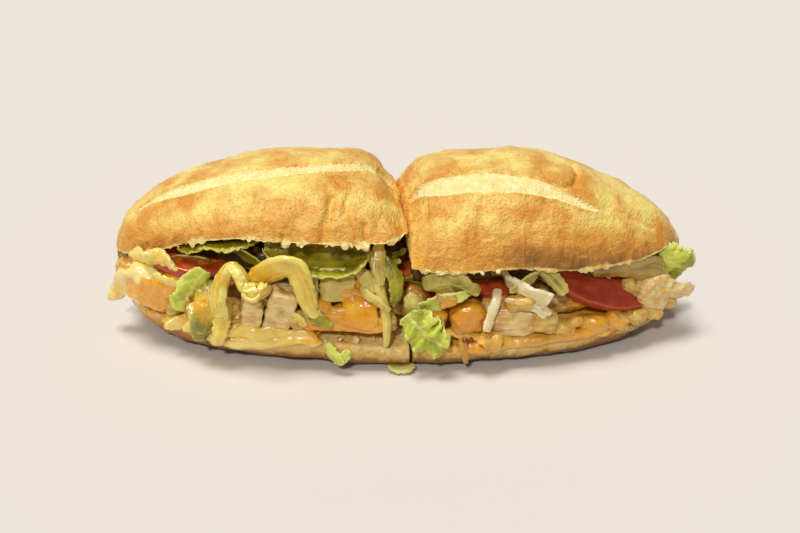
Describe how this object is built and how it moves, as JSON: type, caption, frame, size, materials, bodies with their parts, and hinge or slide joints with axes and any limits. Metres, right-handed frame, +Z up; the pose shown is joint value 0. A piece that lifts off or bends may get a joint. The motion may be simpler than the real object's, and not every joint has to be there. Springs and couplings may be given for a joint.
{
  "type": "grilled chicken sandwich",
  "caption": "Long crusty roll with chicken, melted cheese, lettuce, tomato and sauce, cut across its middle and laid end to end, open side to the front.",
  "frame": {"origin": "middle of the footprint, on the surface that the sandwich rests on", "axes": "+X along the roll, +Y to its closed back, +Z up; the open side looks towards -Y"},
  "size_m": [0.2672, 0.0892, 0.0836],
  "materials": {
    "bread": "baked golden crust with a pale slash, dry",
    "chicken": "moist cooked chicken with sauce",
    "cheese": "melted, glossy",
    "tomato": "wet flesh and skin",
    "lettuce": "thin wet leaf",
    "pale_lettuce": "pale ribs and shreds coated with sauce",
    "sauce": "runny orange sauce, glossy"
  },
  "bodies": {
    "root": {"bread_left": "bread", "bread_right": "bread", "chicken_left": "chicken", "chicken_right": "chicken", "chicken_tip_left": "chicken", "chicken_second_left": "chicken", "chicken_small_left": "chicken", "chicken_block_left": "chicken", "chicken_crumb_right": "chicken", "chicken_second_right": "chicken", "chicken_flake_right": "chicken", "chicken_end_right": "chicken", "cheese_left": "cheese", "cheese_right": "cheese", "tomato_left": "tomato", "tomato_middle": "tomato", "tomato_inner": "tomato", "tomato_outer": "tomato", "lettuce_left": "lettuce", "lettuce_right": "lettuce", "leaf_lip_left": "lettuce", "leaf_tip_left": "lettuce", "leaf_green_left": "lettuce", "strip_left": "lettuce", "blade_left": "lettuce", "sliver_left": "lettuce", "leaf_crumpled_right": "lettuce", "leaf_round_right": "lettuce", "leaf_fold_right": "lettuce", "leaf_end_right": "lettuce", "leaf_scrap": "lettuce", "strip_yellow_left": "pale_lettuce", "curl_left": "pale_lettuce", "arch_left": "pale_lettuce", "rib_left": "pale_lettuce", "square_left": "pale_lettuce", "strand_left": "pale_lettuce", "onion_right": "pale_lettuce", "drape_left": "sauce"}
  },
  "joints": []
}
